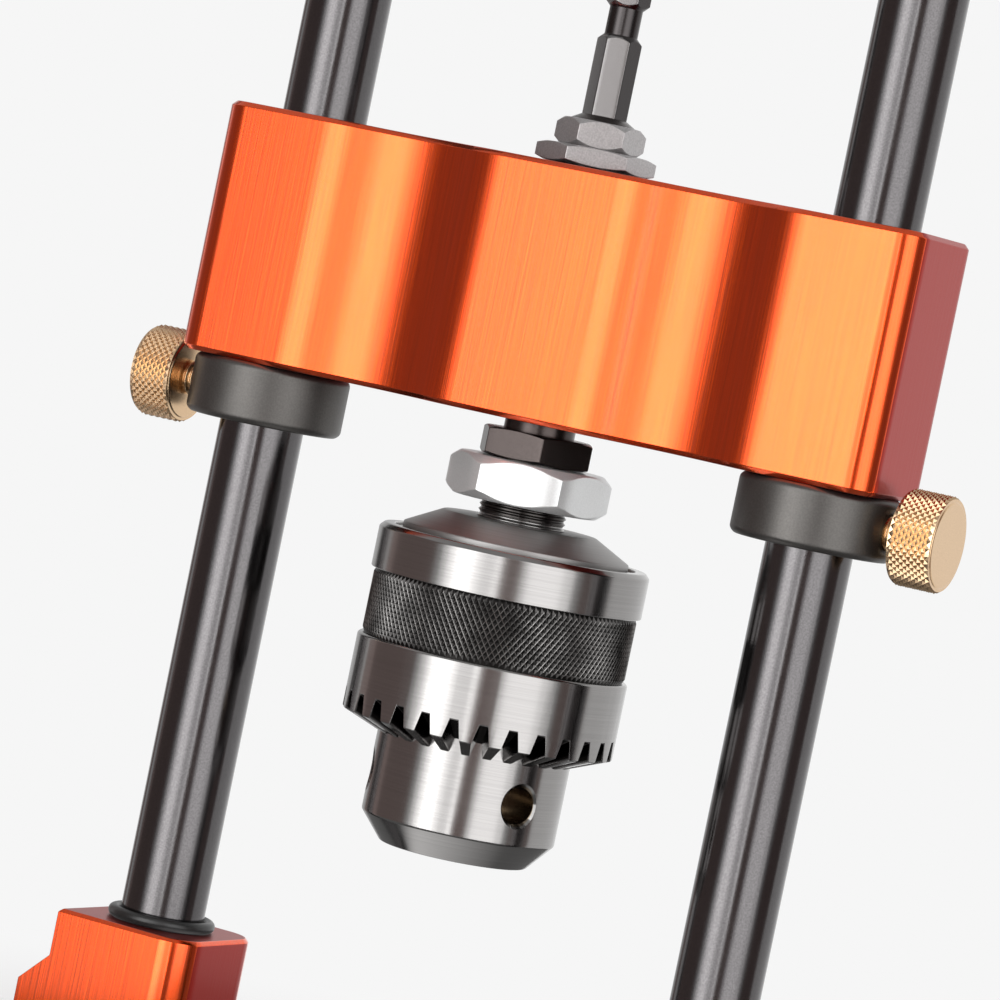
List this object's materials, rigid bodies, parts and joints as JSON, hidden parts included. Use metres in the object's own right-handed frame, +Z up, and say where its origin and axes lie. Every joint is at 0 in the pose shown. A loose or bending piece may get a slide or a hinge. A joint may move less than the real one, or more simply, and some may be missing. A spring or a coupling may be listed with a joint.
{
  "type": "drill guide",
  "caption": "Portable drill guide: a scalloped carriage with a keyed drill chuck slides on two rods above a base, with depth stops and a hexagonal drive shank.",
  "frame": {"origin": "on the base's underside, under the drilling axis", "axes": "+Z up along the rods, +X from the left rod to the right rod, -Y to the front"},
  "size_m": [0.1452, 0.064, 0.265],
  "materials": {
    "anodised_red": "brushed and anodised orange red",
    "black_rod": "satin black hardened steel",
    "dark_collar": "matt dark grey",
    "brass": "bright turned brass, knurled",
    "rubber": "black rubber",
    "screw_steel": "black steel",
    "bronze": "sintered bronze",
    "bearing_steel": "ground steel",
    "shank_steel": "bright steel",
    "turned_steel": "turned steel",
    "black_oxide": "black oxide",
    "bright_zinc": "zinc plated",
    "chuck_steel": "satin turned steel",
    "hard_steel": "ground hard steel"
  },
  "bodies": {
    "base": {"base_block": "anodised_red", "left_rod": "black_rod", "right_rod": "black_rod", "left_rod_ring": "rubber", "right_rod_ring": "rubber", "left_rod_screw": "screw_steel", "right_rod_screw": "screw_steel"},
    "carriage_slide": {"carriage": "anodised_red", "lower_left_bush": "bronze", "lower_right_bush": "bronze", "upper_left_bush": "bronze", "upper_right_bush": "bronze", "lower_outer_race": "bearing_steel", "upper_outer_race": "bearing_steel"},
    "spindle_group": {"spindle": "turned_steel", "drive_shank": "shank_steel", "top_locknut": "shank_steel", "top_washer": "bearing_steel", "spindle_spacer": "bearing_steel", "lower_inner_race": "bearing_steel", "upper_inner_race": "bearing_steel", "lower_balls": "bearing_steel", "upper_balls": "bearing_steel", "jam_nut": "black_oxide", "ejector_nut": "bright_zinc", "arbor": "turned_steel", "chuck_body": "chuck_steel"},
    "sleeve_group": {"chuck_sleeve": "chuck_steel", "front_nut_half": "hard_steel", "rear_nut_half": "hard_steel"},
    "jaw_1_slide": {"jaw_1": "hard_steel"},
    "jaw_2_slide": {"jaw_2": "hard_steel"},
    "jaw_3_slide": {"jaw_3": "hard_steel"},
    "left_stop": {"left_collar": "dark_collar"},
    "left_clamp": {"left_thumbscrew": "brass"},
    "right_stop": {"right_collar": "dark_collar"},
    "right_clamp": {"right_thumbscrew": "brass"}
  },
  "joints": [
    {"name": "carriage_travel", "type": "slide", "parent": "base", "child": "carriage_slide", "axis": [0, 0, 1], "range_m": [0, 0.088]},
    {"name": "spindle_turn", "type": "hinge", "parent": "carriage_slide", "child": "spindle_group", "pos_m": [0, 0, 0.13475], "axis": [0, 0, 1], "continuous": true},
    {"name": "sleeve_turn", "type": "hinge", "parent": "spindle_group", "child": "sleeve_group", "pos_m": [0, 0, 0.09385], "axis": [0, 0, 1], "range_deg": [0, 2826]},
    {"name": "jaw_1_travel", "type": "slide", "parent": "spindle_group", "child": "jaw_1_slide", "axis": [-0.2241, -0.1294, -0.9659], "range_m": [0, 0.0158]},
    {"name": "jaw_2_travel", "type": "slide", "parent": "spindle_group", "child": "jaw_2_slide", "axis": [0.2241, -0.1294, -0.9659], "range_m": [0, 0.0158]},
    {"name": "jaw_3_travel", "type": "slide", "parent": "spindle_group", "child": "jaw_3_slide", "axis": [0, 0.2588, -0.9659], "range_m": [0, 0.0158]},
    {"name": "left_stop_travel", "type": "slide", "parent": "base", "child": "left_stop", "axis": [0, 0, 1], "range_m": [-0.0824, 0]},
    {"name": "left_clamp_turn", "type": "hinge", "parent": "left_stop", "child": "left_clamp", "pos_m": [-0.063, 0, 0.12975], "axis": [-1, 0, 0], "range_deg": [0, 360]},
    {"name": "right_stop_travel", "type": "slide", "parent": "base", "child": "right_stop", "axis": [0, 0, 1], "range_m": [-0.0824, 0]},
    {"name": "right_clamp_turn", "type": "hinge", "parent": "right_stop", "child": "right_clamp", "pos_m": [0.063, 0, 0.12975], "axis": [1, 0, 0], "range_deg": [0, 360]}
  ],
  "couplings": [
    {"joint": "jaw_1_travel", "follows": "sleeve_turn", "m_per_rad": 0.00031831},
    {"joint": "jaw_2_travel", "follows": "sleeve_turn", "m_per_rad": 0.00031831},
    {"joint": "jaw_3_travel", "follows": "sleeve_turn", "m_per_rad": 0.00031831}
  ]
}
